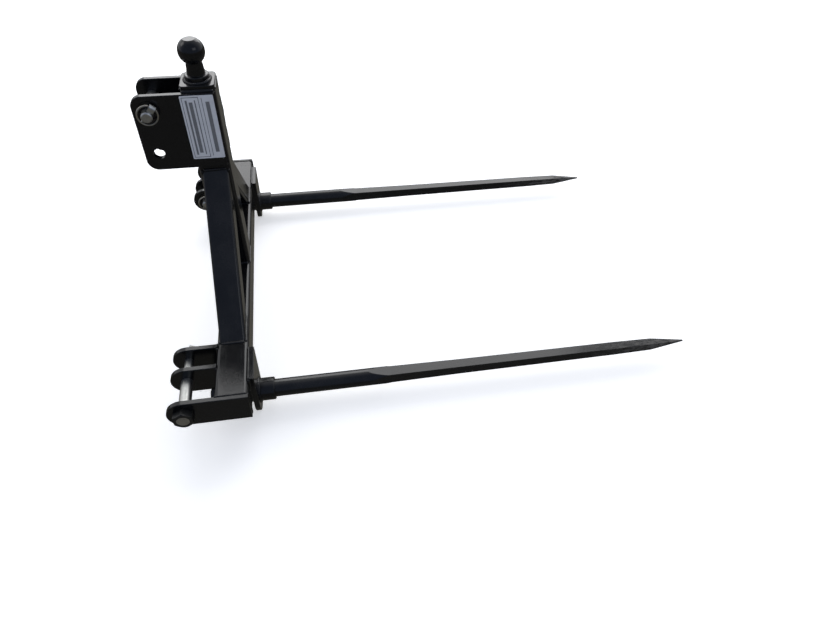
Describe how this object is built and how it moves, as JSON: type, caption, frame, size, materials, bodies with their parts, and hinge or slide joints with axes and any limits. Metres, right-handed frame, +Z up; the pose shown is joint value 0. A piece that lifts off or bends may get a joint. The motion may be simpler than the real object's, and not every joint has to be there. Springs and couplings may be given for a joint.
{
  "type": "bale spear",
  "caption": "Twin-tine bale spear frame for a tractor's three-point linkage, with a braced mast, ball and hitch pins.",
  "frame": {"origin": "on the floor under the middle of the whole part, level with the lowest point of the round-bottomed spear plates", "axes": "+X along the spears towards their tips, +Y to the driver's right, +Z up along the mast"},
  "size_m": [1.3422, 1.063, 0.7579],
  "materials": {
    "frame_paint": "gloss black enamel",
    "spear_paint": "gloss black over forged steel, dusty at the tips",
    "ball_paint": "gloss black over turned steel",
    "pin_plating": "bright zinc plating",
    "ring_wire": "zinc plated spring wire"
  },
  "bodies": {
    "root": {"brace_left": "frame_paint", "brace_right": "frame_paint", "cross_tube": "frame_paint", "hitch_ball": "ball_paint", "lower_hitch_pin_left": "pin_plating", "lower_hitch_pin_right": "pin_plating", "lower_inner_plate_left": "frame_paint", "lower_inner_plate_right": "frame_paint", "lower_lynch_pin_left": "pin_plating", "lower_lynch_pin_right": "pin_plating", "lower_middle_plate_left": "frame_paint", "lower_middle_plate_right": "frame_paint", "lower_outer_plate_left": "frame_paint", "lower_outer_plate_right": "frame_paint", "mast": "frame_paint", "mast_cap": "frame_paint", "spear_left": "spear_paint", "spear_nut_left": "frame_paint", "spear_nut_right": "frame_paint", "spear_plate_left": "frame_paint", "spear_plate_right": "frame_paint", "spear_right": "spear_paint", "spear_sleeve_left": "frame_paint", "spear_sleeve_right": "frame_paint", "top_link_pin": "pin_plating", "top_link_plate_left": "frame_paint", "top_link_plate_right": "frame_paint", "top_lynch_pin": "pin_plating"},
    "top_lynch_ring": {"top_lynch_ring": "ring_wire"},
    "lower_lynch_ring_left": {"lower_lynch_ring_left": "ring_wire"},
    "lower_lynch_ring_right": {"lower_lynch_ring_right": "ring_wire"}
  },
  "joints": [
    {"name": "top_ring_swing", "type": "hinge", "parent": "root", "child": "top_lynch_ring", "pos_m": [-0.623, -0.0623, 0.63442], "axis": [-0.766, 0, 0.6428], "range_deg": [0, 160]},
    {"name": "left_ring_swing", "type": "hinge", "parent": "root", "child": "lower_lynch_ring_left", "pos_m": [-0.62445, -0.3258, 0.1357], "axis": [0.9063, 0, -0.4226], "range_deg": [0, 160]},
    {"name": "right_ring_swing", "type": "hinge", "parent": "root", "child": "lower_lynch_ring_right", "pos_m": [-0.62445, 0.3258, 0.1357], "axis": [-0.9063, 0, 0.4226], "range_deg": [0, 160]}
  ]
}
